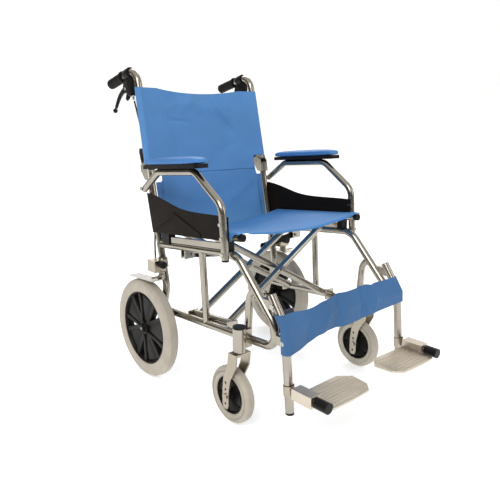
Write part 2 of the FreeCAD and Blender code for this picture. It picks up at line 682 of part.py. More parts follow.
def footplate(side, sign):
    """Ribbed tread with rounded free corners and the boxed knuckle round the hinge rod."""
    low, thick = size("plate_height"), size("plate_thick")

    def at_corner(across, y):
        return Vector(sign * across, y, low)

    corners = [at_corner(211, -372), at_corner(78, -369), at_corner(46, -396), at_corner(52, -446),
               at_corner(76, -470), at_corner(150, -474), at_corner(205, -472), at_corner(211, -462)]
    plate = Part.Face(Part.makePolygon(corners + corners[:1])).extrude(Vector(0, 0, thick))
    for row in range(8):
        y = -386 - 10.5 * row
        rib_low, rib_high = span(sign, 66, 198)
        plate = plate.fuse(Part.makeBox(rib_high - rib_low, 4, 1.4, Vector(rib_low, y - 2, low + thick)))
    x, height = sign * SIDE, size("foot_axis_height")
    knuckle_low, knuckle_high = span(sign, SIDE - 17, SIDE + 15)
    knuckle = Part.makeBox(knuckle_high - knuckle_low, 63, 28, Vector(knuckle_low, -433, height - 14))
    bore = Part.makeCylinder(size("foot_rod_radius") + size("running_gap"), 110, Vector(x, -350, height),
                             Vector(0, -1, 0))
    web_low, web_high = span(sign, 200, SIDE - 10)
    web = Part.makeBox(web_high - web_low, 60, thick, Vector(web_low, -432, low))
    feature(f"footplate_{side}", plate.fuse(web).fuse(knuckle).cut(bore))


# ---------------------------------------------------------------- folding cross brace
def cross_arm(name, sign):
    """Two tubes from a pivot tube on the side given by sign up to a seat rail on the other side."""
    foot, head = sign * size("pivot_plane"), -sign * SIDE
    rise = size("rail_rise")

    bracket_front, bracket_rear = bracket_pair(sign)
    pivot = straight(fold_frame(foot, bracket_front + 5, 0), fold_frame(foot, bracket_rear - 5, 0))
    rail = straight(fold_frame(head, -192, rise), fold_frame(head, 146, rise))
    arms = [straight(fold_frame(foot, along, 0), fold_frame(head, along, rise)) for along in arm_pair(sign)]
    shape = welded((pivot, TUBE), (rail, TUBE), *((arm, STRUT) for arm in arms))
    for along, towards in ((bracket_front, 1), (bracket_rear, -1)):
        end = straight(fold_frame(foot, along + 5 * towards, 0), fold_frame(foot, along + 26 * towards, 0))
        bush = rod(end, TUBE - WALL).cut(rod(end, 6 + size("running_gap")))
        shape = shape.fuse(bush)
    middle_rise = rise * size("pivot_plane") / (size("pivot_plane") + SIDE)
    for along in arm_pair(sign):
        bolt_line = straight(fold_frame(0, along - 12, middle_rise), fold_frame(0, along + 12, middle_rise))
        shape = shape.cut(rod(bolt_line, 5 + size("running_gap")))
    feature(name, shape)


def cross_bolts():
    """The two centre bolts of the cross brace, with heads, nuts and spacers."""
    middle_rise = size("rail_rise") * size("pivot_plane") / (size("pivot_plane") + SIDE)
    pieces = []
    for place, step in ((size("arm_front"), size("arm_step")), (size("arm_rear"), size("arm_step_rear"))):
        line = [fold_frame(0, place + shift, middle_rise) for shift in (-13, step + 13)]
        axis = line[1] - line[0]
        shank = Part.makeCylinder(5, axis.Length, line[0], axis)
        head = Part.makeCylinder(8, 3.5, line[0] - axis.normalize() * 2.3, axis)
        nut = Part.makeCylinder(8, 3.5, line[1] - axis * 1.2, axis)
        pieces.append(shank.fuse(head).fuse(nut))
    feature("cross_bolts", Part.makeCompound(pieces))


def rail_caps(name, sign):
    """Black end plugs of one seat rail."""
    x, rise = sign * SIDE, size("rail_rise")
    pieces = []
    for start, end in ((-192, -203), (146, 151)):
        near, far = fold_frame(x, start, rise), fold_frame(x, end, rise)
        pieces.append(Part.makeCylinder(TUBE - 1, (far - near).Length, near, far - near))
    feature(name, Part.makeCompound(pieces))


def fold_link(side, sign):
    """A flat bar from the ears under the upper rail to the cross arm."""
    start, end = (sign * size("link_outer"), size("link_rise")), (sign * size("link_inner"), 158.2)
    low, high = size("link_place") - 4, size("link_place") + 4

    def eye(place, radius):
        near, far = fold_frame(place[0], low, place[1]), fold_frame(place[0], high, place[1])
        return Part.makeCylinder(radius, (far - near).Length, near, far - near)

    length = math.hypot(end[0] - start[0], end[1] - start[1])
    normal = (-(end[1] - start[1]) / length * 9, (end[0] - start[0]) / length * 9)
    outline = [fold_frame(place[0] + side_of * normal[0], low, place[1] + side_of * normal[1])
               for place, side_of in ((start, 1), (end, 1), (end, -1), (start, -1))]
    bar = Part.Face(Part.makePolygon(outline + outline[:1])).extrude(
        fold_frame(0, high, 0) - fold_frame(0, low, 0))
    bore = rod(straight(fold_frame(start[0], 40, start[1]), fold_frame(start[0], 80, start[1])),
               4 + size("running_gap"))
    feature(f"fold_link_{side}", bar.fuse(eye(start, 11)).fuse(eye(end, 10)).cut(bore))


# ---------------------------------------------------------------- fabric
def arc_sheet(low_point, along, half_width, sag, bulge):
    """A sheet whose cross-section is an arc: half_width each side of the middle, sagging along bulge."""
    left, right = low_point - Vector(half_width, 0, 0), low_point + Vector(half_width, 0, 0)
    step = Vector(bulge).normalize() * size("cloth")
    middle = low_point + Vector(bulge).normalize() * sag
    outline = Part.Wire([Part.Arc(left, middle, right).toShape(),
                         Part.LineSegment(right, right + step).toShape(),
                         Part.Arc(right + step, middle + step, left + step).toShape(),
                         Part.LineSegment(left + step, left).toShape()])
    return Part.Face(outline).extrude(along)


def seat_sling():
    """The seat hangs between the two seat rails in sewn sleeves."""
    rise, gap = size("rail_rise"), 0.1
    start, end = fold_frame(0, -188, rise + TUBE + gap), fold_frame(0, 142, rise + TUBE + gap)
    shape = arc_sheet(start, end - start, SIDE, 18, (0, -math.sin(TILT), -math.cos(TILT)))
    for sign in (-1, 1):
        low, high = fold_frame(sign * SIDE, -188, rise), fold_frame(sign * SIDE, 142, rise)
        shape = shape.fuse(rod(straight(low, high), TUBE + 1.3))
    for sign in (-1, 1):
        low, high = fold_frame(sign * SIDE, -200, rise), fold_frame(sign * SIDE, 152, rise)
        shape = shape.cut(rod(straight(low, high), TUBE + gap))
        for along in arm_pair(-sign):
            foot = fold_frame(-sign * size("pivot_plane"), along, 0)
            shape = shape.cut(rod(straight(foot, fold_frame(sign * SIDE, along, rise)), STRUT + gap))
    feature("seat_sling", shape)


def back_upholstery_upper():
    """The upper back panel, sleeved over both upper posts."""
    lean = Vector(0, size("post_lean"), 1).normalize()
    behind = Vector(0, lean.z, -lean.y)
    start, end = post_point(0, 655), post_point(0, 868)
    shape = arc_sheet(start - behind * (TUBE + size("cloth")), end - start, SIDE - 6, 26, behind)
    for sign in (-1, 1):
        low, high = upper_post_point(sign, 664), upper_post_point(sign, 868)
        shape = shape.fuse(rod(straight(low, high), TUBE + size("cloth")))
    for sign in (-1, 1):
        low, high = upper_post_point(sign, 640), upper_post_point(sign, 876)
        shape = shape.cut(rod(straight(low, high), TUBE + 0.4))
    feature("back_upholstery_upper", shape)


def back_upholstery_lower():
    """The lower back panel between the lower posts, narrower beside the hinges."""
    lean = Vector(0, size("post_lean"), 1).normalize()
    behind = Vector(0, lean.z, -lean.y)
    wide = arc_sheet(post_point(0, 440) - behind * 8, post_point(0, 592) - post_point(0, 440),
                     SIDE - 13, 24, behind)
    narrow = arc_sheet(post_point(0, 592) - behind * 8, post_point(0, 648) - post_point(0, 592),
                       SIDE - 36, 24, behind)
    feature("back_upholstery_lower", wide.fuse(narrow))


def hanger_y(height):
    """Y of a footrest hanger's axis behind the calf strap."""
    return -334 - 0.0714 * (296 - height) if height < 296 else -334 + 0.674 * (height - 296)


def strap_line(heights, offset):
    """(y, z) points beside the hanger's axis, in front of it for a positive offset."""
    return [(hanger_y(height) - offset, height) for height in heights]


STRAP_HEIGHTS = (342, 296, 240)
STRAP_HALF = SIDE + TUBE + 6


def calf_strap():
    """A wide strap across the front of both hangers, turned back round their outer sides."""
    front, inner = strap_line(STRAP_HEIGHTS, 17.4), strap_line(STRAP_HEIGHTS, 15)
    shape = slab(-STRAP_HALF, STRAP_HALF, front + inner[::-1])
    for sign in (-1, 1):
        low, high = span(sign, STRAP_HALF - size("cloth"), STRAP_HALF)
        shape = shape.fuse(slab(low, high, front + strap_line(STRAP_HEIGHTS, -14)[::-1]))
    feature("calf_strap", shape)


def strap_tab():
    """The hook-and-loop tab that closes the strap behind one hanger, between its two lugs."""
    outer, inner = strap_line((326, 296, 278), -19.6), strap_line((326, 296, 278), -17.2)
    feature("calf_strap_tab", slab(-STRAP_HALF, -(SIDE - 62), outer + inner[::-1]))


# ---------------------------------------------------------------- the whole chair
SIDE_PIECES = [side_frame, plastic_fittings, frame_bolts, armrest_tube, arm_pad, skirt_guard, rear_wheel,
               brake_housing, brake_shoe, caster_fork, caster_wheel, footrest_hanger, footplate_bracket,
               footplate, back_post, back_hinge, latch_lever, handle_grip, lever_bracket, brake_lever,
               brake_cable, fold_link]
for make_piece in SIDE_PIECES:
    for chair_side, sign in CHAIR_SIDES:
        make_piece(chair_side, sign)
cross_arm("cross_arm_a", -1)
cross_arm("cross_arm_b", 1)
rail_caps("rail_caps_a", 1)
rail_caps("rail_caps_b", -1)
cross_bolts()
seat_sling()
back_upholstery_upper()
back_upholstery_lower()
calf_strap()
strap_tab()

sheet.clear("E1")
doc.recompute()
for item in doc.Objects:
    if {"Invalid", "Error"} & set(item.State):
        raise SystemExit(f"{item.Name} failed: {item.State}")
os.makedirs("parts", exist_ok=True)
for node in NODES:
    if node.Shape.isNull() or not node.Shape.isValid():
        raise SystemExit(f"{node.Label} has no valid shape")
    node.Shape.exportStep(f"parts/{node.Label}.step")
print(len(NODES), "sub-parts")
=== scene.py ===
"""The looks of a transport wheelchair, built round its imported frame.

Every piece is in metres in the frame's own axes: +Z up, the chair faces -Y, +X is the sitter's left.
"""
import json
import math

import bpy
import numpy as np
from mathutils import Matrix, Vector, noise


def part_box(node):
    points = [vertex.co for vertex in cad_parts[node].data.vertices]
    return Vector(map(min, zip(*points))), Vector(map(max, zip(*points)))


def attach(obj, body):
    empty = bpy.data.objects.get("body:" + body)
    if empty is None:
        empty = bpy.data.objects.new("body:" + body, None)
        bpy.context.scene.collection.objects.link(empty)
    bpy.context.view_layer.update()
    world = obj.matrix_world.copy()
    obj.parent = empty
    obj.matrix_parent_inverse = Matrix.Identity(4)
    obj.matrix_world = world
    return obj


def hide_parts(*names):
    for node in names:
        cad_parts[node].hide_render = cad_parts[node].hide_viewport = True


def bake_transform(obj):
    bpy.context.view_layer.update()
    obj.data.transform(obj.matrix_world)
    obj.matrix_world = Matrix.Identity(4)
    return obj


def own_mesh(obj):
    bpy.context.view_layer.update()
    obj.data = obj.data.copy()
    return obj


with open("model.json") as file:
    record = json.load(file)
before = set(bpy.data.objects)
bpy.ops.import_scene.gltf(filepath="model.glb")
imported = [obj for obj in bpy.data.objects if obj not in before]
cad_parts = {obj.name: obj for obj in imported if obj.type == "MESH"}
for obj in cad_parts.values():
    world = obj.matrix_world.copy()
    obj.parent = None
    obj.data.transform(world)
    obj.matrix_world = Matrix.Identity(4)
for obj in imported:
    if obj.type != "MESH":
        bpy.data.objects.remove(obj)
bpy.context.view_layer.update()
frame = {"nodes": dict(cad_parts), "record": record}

MM = 0.001
SIDES = (("right", -1), ("left", 1))


# ------------------------------------------------------------------ places read from the frame
def middle(node):
    """The centre of a node's box."""
    low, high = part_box(node)
    return (low + high) / 2


SIDE = middle("footrest_hanger_left").x
TUBE = 11 * MM
SLEEVE = TUBE + 1.3 * MM  # inside of the back cloth where it wraps a post
TILT = math.radians(5)
LEAN = 0.205
PIVOT_HEIGHT, RAIL_RISE = 228 * MM, 245 * MM
HANDLE = middle("handle_grip_left").x
HANDLE_SLOPE = 0.24
POST_BACK = 121.3 * MM


def fold_point(across, along, rise):
    """A point by its place across the chair, along the tilted folding axis and square to it."""
    return Vector((across, along * math.cos(TILT) + rise * math.sin(TILT),
                   PIVOT_HEIGHT - along * math.sin(TILT) + rise * math.cos(TILT)))


def post_y(height):
    return POST_BACK + LEAN * height


# ------------------------------------------------------------------ material nodes
class Shader:
    """A Principled material with short helpers for its procedural nodes."""

    def __init__(self, name, colour, roughness, metallic=0.0, **sockets):
        self.material = bpy.data.materials.new(name)
        self.material.use_nodes = True
        self.tree = self.material.node_tree
        self.surface = self.tree.nodes["Principled BSDF"]
        self.coordinates = self.tree.nodes.new("ShaderNodeTexCoord").outputs["Object"]
        self.surface.inputs["Base Color"].default_value = (*colour, 1)
        self.surface.inputs["Roughness"].default_value = roughness
        self.surface.inputs["Metallic"].default_value = metallic
        for socket, value in sockets.items():
            self.surface.inputs[socket.replace("_", " ")].default_value = value

    def link(self, output, node, socket):
        self.tree.links.new(output, node.inputs[socket])

    def stretched(self, scale):
        node = self.tree.nodes.new("ShaderNodeMapping")
        node.inputs["Scale"].default_value = scale
        self.link(self.coordinates, node, "Vector")
        return node.outputs["Vector"]

    def noise(self, scale, detail=3.0, stretch=(1, 1, 1)):
        node = self.tree.nodes.new("ShaderNodeTexNoise")
        node.inputs["Scale"].default_value = scale
        node.inputs["Detail"].default_value = detail
        self.link(self.stretched(stretch), node, "Vector")
        return node.outputs["Fac"]

    def bands(self, scale, direction):
        node = self.tree.nodes.new("ShaderNodeTexWave")
        node.bands_direction = direction
        node.inputs["Scale"].default_value = scale
        node.inputs["Distortion"].default_value = 0.4
        node.inputs["Detail"].default_value = 1.0
        self.link(self.coordinates, node, "Vector")
        return node.outputs["Fac"]

    def maths(self, operation, first, second):
        node = self.tree.nodes.new("ShaderNodeMath")
        node.operation = operation
        for index, value in enumerate((first, second)):
            if isinstance(value, (int, float)):
                node.inputs[index].default_value = value
            else:
                self.link(value, node, index)
        return node.outputs[0]

    def ramp(self, factor, *stops):
        node = self.tree.nodes.new("ShaderNodeValToRGB")
        while len(node.color_ramp.elements) < len(stops):
            node.color_ramp.elements.new(0.5)
        for element, (place, colour) in zip(node.color_ramp.elements, stops):
            element.position = place
            element.color = (*colour, 1)
        self.link(factor, node, "Fac")
        return node.outputs["Color"]

    def colour(self, output):
        self.link(output, self.surface, "Base Color")

    def roughness(self, factor, low, high):
        node = self.tree.nodes.new("ShaderNodeMapRange")
        node.inputs["To Min"].default_value = low
        node.inputs["To Max"].default_value = high
        self.link(factor, node, "Value")
        self.link(node.outputs["Result"], self.surface, "Roughness")

    def bump(self, height, strength, distance):
        node = self.tree.nodes.new("ShaderNodeBump")
        node.inputs["Strength"].default_value = strength
        node.inputs["Distance"].default_value = distance
        self.link(height, node, "Height")
        self.link(node.outputs["Normal"], self.surface, "Normal")


def shade(colour, factor):
    return tuple(min(1.0, channel * factor) for channel in colour)


def metal(name, colour, roughness, spread=0.08, grain=1.0):
    """Drawn or cast metal: cloudy polish, fine grain and slight tone changes."""
    shader = Shader(name, colour, roughness, 1.0)
    cloud = shader.noise(14, 4)
    fine = shader.noise(900, 2)
    shader.colour(shader.ramp(cloud, (0.3, shade(colour, 0.9)), (0.7, shade(colour, 1.06))))
    shader.roughness(shader.noise(45, 5), roughness - spread / 2, roughness + spread)
    shader.bump(fine, 0.12 * grain, 0.0002)
    return shader.material


def plastic(name, colour, roughness, grain=700, depth=0.25, shine=0.16):
    """Moulded plastic or rubber with a fine spark-eroded grain and faint scuffs."""
    shader = Shader(name, colour, roughness, Specular_IOR_Level=shine)
    shader.colour(shader.ramp(shader.noise(9, 5), (0.3, shade(colour, 0.8)), (0.75, shade(colour, 1.3))))
    shader.roughness(shader.noise(60, 6), roughness - 0.08, roughness + 0.12)
    shader.bump(shader.noise(grain, 2), depth, 0.0003)
    return shader.material


def fabric(name, colour, thread=1500.0, sheen=0.12):
    """Woven nylon: two crossed sets of threads, slubs, soft sheen and uneven dye."""
    shader = Shader(name, colour, 0.62, Sheen_Weight=sheen, Sheen_Roughness=0.45)
    weave = shader.maths("MULTIPLY", shader.bands(thread, "X"),
                         shader.maths("MAXIMUM", shader.bands(thread, "Z"), shader.bands(thread, "Y")))
    slub = shader.noise(420, 3, (1, 0.15, 0.15))
    tone = shader.maths("ADD", shader.maths("MULTIPLY", shader.noise(7, 5), 0.8),
                        shader.maths("MULTIPLY", slub, 0.25))
    shader.colour(shader.ramp(tone, (0.32, shade(colour, 0.86)), (0.72, shade(colour, 1.12))))
    shader.roughness(slub, 0.52, 0.72)
    shader.bump(shader.maths("ADD", weave, shader.maths("MULTIPLY", slub, 0.8)), 0.25, 0.0003)
    return shader.material


def tyre_rubber():
    """Pale solid rubber with a soft bloom, a dusty tread and faint mould marks."""
    colour = (0.50, 0.455, 0.375)
    shader = Shader("grey_tyre_rubber", colour, 0.5)
    dust = shader.maths("ADD", shader.maths("MULTIPLY", shader.noise(26, 6), 0.7),
                        shader.maths("MULTIPLY", shader.noise(3, 2), 0.3))
    shader.colour(shader.ramp(dust, (0.3, shade(colour, 0.84)), (0.7, shade(colour, 1.08))))
    shader.roughness(shader.noise(80, 4), 0.42, 0.62)
    shader.bump(shader.noise(350, 3), 0.2, 0.0004)
    return shader.material


BLUE = (0.078, 0.250, 0.560)
MATERIALS = {
    "frame_tube": metal("polished_tube", (0.40, 0.37, 0.315), 0.20, 0.08, 0.6),
    "fork_alloy": metal("cast_alloy", (0.46, 0.41, 0.33), 0.28, 0.12),
    "hinge_alloy": metal("hinge_casting", (0.50, 0.465, 0.41), 0.26, 0.10),
    "bolt": metal("zinc_plate", (0.52, 0.50, 0.46), 0.24),
    "plate_alloy": metal("footplate_alloy", (0.66, 0.59, 0.49), 0.34, 0.12),
    "black_plastic": plastic("black_plastic", (0.009, 0.008, 0.008), 0.34),
    "guard_plastic": plastic("guard_plastic", (0.010, 0.007, 0.0045), 0.46, 1200, 0.35, 0.09),
    "wheel_core": plastic("wheel_plastic", (0.008, 0.007, 0.006), 0.32, 500, 0.15, 0.09),
    "grip_rubber": plastic("grip_rubber", (0.010, 0.009, 0.009), 0.55, 1500, 0.3),
    "cable_black": plastic("cable_sheath", (0.012, 0.012, 0.012), 0.38),
    "blue_fabric": fabric("blue_nylon", BLUE),
    # seat_fabric: the back's blue nylon made darker as painted shade, offsetting the overhead key light on
    # the seat (sheen lowered too)
    "seat_fabric": fabric("seat_nylon_painted_shade", (0.052, 0.220, 0.540), sheen=0.04),
    # strap_fabric: the same blue nylon darkened to about half as painted shade on the upright calf strap
    "strap_fabric": fabric("strap_nylon_painted_shade", (0.036, 0.136, 0.325), sheen=0.03),
    "pad_fabric": fabric("pad_nylon", (0.056, 0.214, 0.540), sheen=0.06),
    "navy_fabric": fabric("navy_tape", (0.010, 0.014, 0.042), 2600.0, 0.6),
    "grey_tyre": tyre_rubber(),
}


def dress(obj, slot):
    """Gives a piece one material in place of whatever it has."""
    obj.data.materials.clear()
    obj.data.materials.append(MATERIALS[slot])


# ------------------------------------------------------------------ mesh helpers
def new_piece(name, vertices, faces, slot, body=None):
    """A smooth-shaded mesh piece that rides on a body."""
    mesh = bpy.data.meshes.new(name)
    mesh.from_pydata([tuple(vertex) for vertex in vertices], [], faces)
    mesh.validate()
    mesh.shade_smooth()
    obj = bpy.data.objects.new(name, mesh)
    bpy.context.scene.collection.objects.link(obj)
    dress(obj, slot)
    if body:
        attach(obj, body)
    return obj


def bake(obj, *modifiers):
    """Adds modifiers, each (type, settings), and writes their result into the mesh."""
    for kind, settings in modifiers:
        modifier = obj.modifiers.new(kind.lower(), kind)
        for setting, value in settings.items():
            setattr(modifier, setting, value)
    graph = bpy.context.evaluated_depsgraph_get()
    mesh = bpy.data.meshes.new_from_object(obj.evaluated_get(graph), depsgraph=graph)
    obj.modifiers.clear()
    obj.data = mesh
    return obj


def grid_faces(rows, columns, closed_rows=False, closed_columns=False):
    """Quads over a rows x columns grid of vertices."""
    faces = []
    for row in range(rows - (not closed_rows)):
        for column in range(columns - (not closed_columns)):
            next_row, next_column = (row + 1) % rows, (column + 1) % columns
            faces.append((row * columns + column, row * columns + next_column,
                          next_row * columns + next_column, next_row * columns + column))
    return faces


def lathe(name, profile, centre, axis, slot, body, steps=96):
    """A closed ring: profile of (along the axis, radius) pairs turned about the axis."""
    axis = Vector(axis).normalized()
    aside = axis.orthogonal().normalized()
    up = axis.cross(aside)
    vertices = []
    for step in range(steps):
        angle = 2 * math.pi * step / steps
        out = aside * math.cos(angle) + up * math.sin(angle)
        vertices += [centre + axis * along + out * radius for along, radius in profile]
    faces = grid_faces(steps, len(profile), closed_rows=True, closed_columns=True)
    return new_piece(name, vertices, faces, slot, body)


def rounded(corners, radius, steps=3):
    """A closed outline with each corner (a pair) rounded off."""
    points = []
    count = len(corners)
    for index in range(count):
        before, corner, after = (np.array(corners[(index + shift) % count], float) for shift in (-1, 0, 1))
        reach = min(radius, 0.45 * np.linalg.norm(before - corner), 0.45 * np.linalg.norm(after - corner))
        start = corner + (before - corner) / np.linalg.norm(before - corner) * reach
        end = corner + (after - corner) / np.linalg.norm(after - corner) * reach
        for step in range(steps + 1):
            t = step / steps
            points.append(tuple((1 - t) ** 2 * start + 2 * t * (1 - t) * corner + t * t * end))
    return points


def milli(points, sign=1):
    """Pairs in millimetres as pairs in metres, mirrored along the first when sign is -1."""
    return [(sign * a * MM, b * MM) for a, b in points]


def smooth_step(low, high, value):
    t = np.clip((value - low) / (high - low), 0, 1)
    return t * t * (3 - 2 * t)


def crease(s, t, start, end, width, depth):
    """A fold line on a surface: its height at (s, t), fading towards both ends."""
    a, b = np.array(start, float), np.array(end, float)
    along = b - a
    length = np.linalg.norm(along)
    share = ((s - a[0]) * along[0] + (t - a[1]) * along[1]) / length ** 2
    off = ((s - a[0]) * along[1] - (t - a[1]) * along[0]) / length
    fade = smooth_step(-0.15, 0.25, share) * (1 - smooth_step(0.75, 1.2, share))
    return depth * np.exp(-(off / width) ** 2) * fade


def ripple(x, y, z, scale):
    """Smooth repeatable unevenness from -1 to 1."""
    return noise.noise(Vector((x, y, z)) * scale)


def cloth_piece(name, points, slot, thickness):
    """A thick cloth from a grid of points [row][column][3]."""
    rows, columns = points.shape[:2]
    obj = new_piece(name, points.reshape(-1, 3), grid_faces(rows, columns), slot, None)
    bake(obj, ("SOLIDIFY", {"thickness": thickness, "offset": 0.0, "use_even_offset": True}))
    obj.data.shade_smooth()
    dress(obj, slot)
    return obj


# ------------------------------------------------------------------ the seat
def seat_section(along, lift):
    """The seat cloth's (across, rise) points at one place along the folding axis; lift frees its corners."""
    cloth_radius = TUBE + 1.1 * MM
    last = -112 * (1 - lift) + 20 * lift
    wrap = [math.radians(angle) for angle in np.linspace(last, 90, 23)]
    sag = (20 + 3 * math.cos((along - 0.142) / 0.33 * math.pi)) * MM
    half = []
    for angle in wrap:
        free = lift * (1 - smooth_step(math.radians(20), math.radians(80), angle))
        half.append((SIDE + (cloth_radius + 3.5 * MM * free) * math.cos(angle) - 3 * MM * free,
                     RAIL_RISE + cloth_radius * math.sin(angle) + 4.5 * MM * free + 1.2 * MM * lift))
    across = np.linspace(SIDE, 0, 46)[1:]
    drop = 1.2 * MM * lift
    half += [(x, RAIL_RISE + cloth_radius + drop - sag * (1 - (x / SIDE) ** 2) ** 1.15) for x in across]
    return half + [(-x, rise) for x, rise in reversed(half[:-1])]


def make_seat():
    front, rear = -0.197, 0.147
    hem = 5.5 * MM
    places = np.concatenate([np.full(5, front), np.linspace(front, rear, 62)[1:]])
    drops = np.concatenate([np.linspace(1, 0, 6)[:5], np.zeros(61)])
    rows = []
    for along, drop in zip(places, drops):
        lift = 1 - smooth_step(-0.186, -0.150, along)
        row = []
        for x, rise in seat_section(along, lift):
            inside = 1 - smooth_step(SIDE - 40 * MM, SIDE - 14 * MM, abs(x))
            turn = drop * math.pi / 2
            down = hem * drop * (0.35 + 0.65 * inside)
            ahead = hem * 0.55 * math.sin(turn)
            wave = (crease(x, along, (-0.20, -0.165), (-0.06, -0.05), 0.012, -2.2 * MM)
                    + crease(x, along, (0.20, -0.165), (0.07, -0.06), 0.014, -2.4 * MM)
                    + crease(x, along, (-0.19, 0.12), (-0.02, 0.02), 0.018, -2.4 * MM)
                    + crease(x, along, (0.19, 0.125), (0.03, 0.04), 0.016, -2.0 * MM)
                    + crease(x, along, (0.15, -0.02), (-0.05, 0.03), 0.020, 1.6 * MM)
                    + crease(x, along, (-0.14, -0.186), (0.14, -0.176), 0.004, -1.1 * MM)
                    + 1.8 * MM * ripple(x, along, 0, 11) + 0.6 * MM * ripple(x, along, 4, 38)) * inside
            wave += 0.8 * MM * ripple(x, 0, 7, 42) * drop * inside
            wave += 2.0 * MM * ripple(x, along, 11, 55) * lift * (1 - inside)
            row.append(fold_point(x, along - ahead, rise - down + wave))
        rows.append(row)
    seat = cloth_piece("seat_cloth", np.array(rows), "seat_fabric", 1.6 * MM)
    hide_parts("seat_sling")
    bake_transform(seat)


# ------------------------------------------------------------------ the back
SEAM = 166 * MM  # stitched line of each sleeve, across from the middle
NOTCH = 188 * MM  # edge of the cut-out beside each hinge
BACK_SAG = 27 * MM
BACK_TOP = 0.868
SLEEVE_FOOT = 0.655
LOWER_TOP = 0.659
LOWER_FOOT = 0.432


def behind(height, off):
    """Y of a place off behind the post's axis at a height."""
    return post_y(height) + off


def post_x(height):
    """The upper posts lean in a little towards the handles."""
    return SIDE - (SIDE - HANDLE) * max(0.0, (height - 0.643) / 0.278)


def panel_off(x, height):
    """How far the back cloth lies behind the post's axis."""
    bow = BACK_SAG * (1 - (x / SIDE) ** 2)
    top = smooth_step(0.80, BACK_TOP, height)
    return -SLEEVE + bow * (1 + 0.22 * top * np.exp(-(x / 0.11) ** 2))


def back_folds(x, z):
    """Heights of the creases that the sitter has left in the upper back."""
    return 1.6 * (crease(x, z, (0.035, 0.838), (0.112, 0.735), 0.0085, -4.0 * MM)
                  + crease(x, z, (0.055, 0.840), (0.135, 0.745), 0.008, 2.6 * MM)
                  + crease(x, z, (-0.075, 0.835), (0.075, 0.800), 0.020, 4.5 * MM)
                  + crease(x, z, (-0.010, 0.858), (-0.085, 0.800), 0.014, 2.8 * MM)
                  + crease(x, z, (0.000, 0.855), (0.060, 0.792), 0.012, 2.6 * MM)
                  + crease(x, z, (-0.135, 0.776), (-0.045, 0.766), 0.006, -2.2 * MM)
                  + crease(x, z, (-0.140, 0.800), (-0.060, 0.835), 0.010, 1.6 * MM)
                  + crease(x, z, (-0.130, 0.700), (-0.020, 0.722), 0.016, -1.6 * MM)
                  + crease(x, z, (0.130, 0.700), (0.040, 0.662), 0.014, -1.6 * MM))


def seam_dip(x):
    """The stitched line of each sleeve, pulled in, with the cloth puffed beside it."""
    near = abs(abs(x) - SEAM)
    return (0.9 * math.exp(-(near / 0.0018) ** 2) - 0.6 * math.exp(-((near - 0.006) / 0.004) ** 2)) * MM


def make_upper_back():
    """The upper panel, sleeved over both posts; below the hinges a narrower flap overlaps the lower panel."""
    rows = []
    for share in np.linspace(0, 1, 84):
        row = []
        for side in (1, -1):
            flap = [SEAM + t * (SIDE - SEAM - TUBE * 0.2) for t in np.linspace(0, 1, 8)]
            wrap = [math.radians(angle) for angle in range(165, -1, -15)]
            front = np.linspace(1, 0, 44)[1:]
            half = [("flap", x) for x in flap] + [("wrap", angle) for angle in wrap]
            half += [("front", t) for t in front]
            if side < 0:
                half = half[:-1]
            points = []
            for kind, value in half:
                top, low = BACK_TOP, SLEEVE_FOOT
                if kind == "front":
                    x = value * SIDE
                    top -= 0.013 * (1 - min(1, (x / SEAM) ** 2))
                    low -= 0.045 * (1 - smooth_step(NOTCH - 3 * MM, NOTCH + 2 * MM, x))
                z = low + (top - low) * share
                centre = post_x(z)
                if kind == "flap":
                    x, off = value * centre / SIDE, panel_off(SEAM, z) + 2.6 * MM
                    off += (TUBE + 1.2 * MM - off) * smooth_step(SEAM, SIDE, value)
                elif kind == "wrap":
                    x = centre + SLEEVE * math.sin(value)
                    off = -SLEEVE * math.cos(value)
                else:
                    x = value * centre
                    off = panel_off(x, z) + seam_dip(x)
                    flat = 1 - smooth_step(SEAM - 10 * MM, SEAM + 4 * MM, x)
                    signed = x * side
                    off -= (back_folds(signed, z) + 1.5 * MM * ripple(signed, 0, z, 12)
                            + 0.45 * MM * ripple(signed, 2, z, 45)) * flat
                    off -= 0.5 * MM * ripple(signed, 9, z, 30) * (1 - flat)
                    hem = math.exp(-((top - z - 0.014) / 0.0015) ** 2)
                    off += 0.6 * MM * hem
                points.append(Vector((x * side, behind(z, off), z)))
            row += points if side > 0 else points[::-1]
        rows.append(row)
    panel = cloth_piece("back_cloth_upper", np.array(rows), "blue_fabric", 1.5 * MM)
    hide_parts("back_upholstery_upper")
    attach(panel, "back_right")
    return panel


def make_lower_back():
    """The lower panel hangs behind the lower posts' front, with a notch beside each hinge."""
    rows = []
    for share in np.linspace(0, 1, 62):
        row = []
        for across in np.linspace(-1, 1, 96):
            edge = SIDE - 14 * MM
            x = across * edge
            low = LOWER_FOOT
            notch = smooth_step(NOTCH - 2 * MM, NOTCH + 3 * MM, abs(x))
            top = LOWER_TOP - (LOWER_TOP - 0.591) * notch
            z = low + (top - low) * share
            under = smooth_step(0.6085, 0.6115, z) * (1 - smooth_step(NOTCH - 4 * MM, NOTCH + 2 * MM, abs(x)))
            off = panel_off(x, z) + 2.4 * MM * under + 6 * MM * smooth_step(0.19, 0.2, abs(x))
            wrinkle = (crease(x, z, (-0.17, 0.560), (-0.02, 0.520), 0.014, 2.0 * MM)
                       + crease(x, z, (0.17, 0.570), (0.05, 0.500), 0.016, 2.2 * MM)
                       + 1.6 * MM * ripple(x, 5, z, 12) + 0.4 * MM * ripple(x, 6, z, 45))
            off -= wrinkle * (1 - smooth_step(SEAM, SIDE, abs(x)))
            row.append(Vector((x, behind(z, off), z)))
        rows.append(row)
    panel = cloth_piece("back_cloth_lower", np.array(rows), "blue_fabric", 1.5 * MM)
    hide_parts("back_upholstery_lower")
    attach(panel, "right_side")
    return panel


# ------------------------------------------------------------------ the calf strap
BEND_Y, BEND_HEIGHT = -0.334, 0.296  # where a footrest hanger changes its slope


